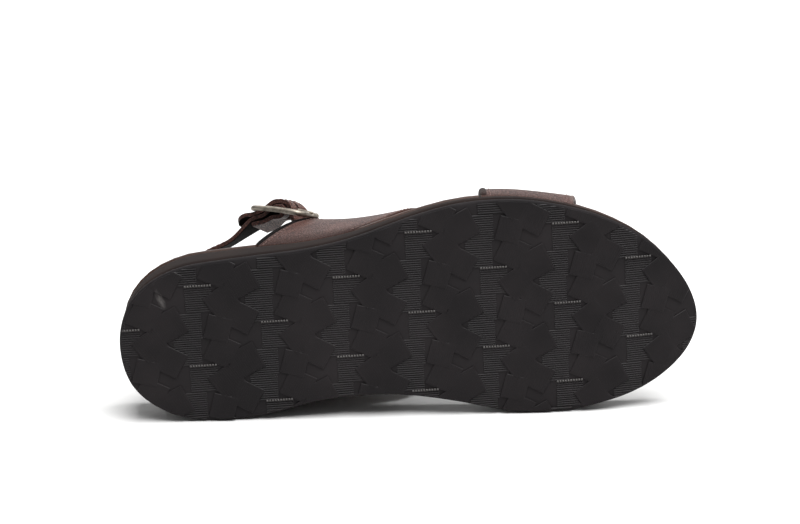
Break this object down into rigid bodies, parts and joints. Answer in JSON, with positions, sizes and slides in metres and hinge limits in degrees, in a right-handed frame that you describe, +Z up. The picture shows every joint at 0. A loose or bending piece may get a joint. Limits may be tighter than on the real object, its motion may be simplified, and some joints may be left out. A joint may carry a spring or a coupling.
{
  "type": "slingback slide sandal",
  "caption": "Leather slingback sandal lying on its side: wide toe and instep bands, buckled heel strap, wedge midsole and patterned rubber outsole.",
  "frame": {"origin": "middle of the lying sandal's bounding box, on the floor", "axes": "+X along the shoe from heel to toe, +Y from the tread towards the upper, +Z up from the floor towards the lateral side"},
  "size_m": [0.287, 0.0956, 0.1083],
  "materials": {
    "outsole_rubber": "matt black moulded rubber",
    "midsole_foam": "matt black foam with a skin",
    "footbed_leather": "smooth brown leather",
    "band_leather": "pebbled dark brown leather",
    "strap_leather": "pebbled dark brown leather with a black lining",
    "buckle_metal": "antique satin metal"
  },
  "bodies": {
    "root": {"outsole": "outsole_rubber", "midsole": "midsole_foam", "footbed": "footbed_leather", "front_band": "band_leather", "instep_band": "band_leather", "heel_strap": "strap_leather", "buckle_strap": "strap_leather", "buckle_frame": "buckle_metal", "buckle_prong": "buckle_metal"}
  },
  "joints": []
}
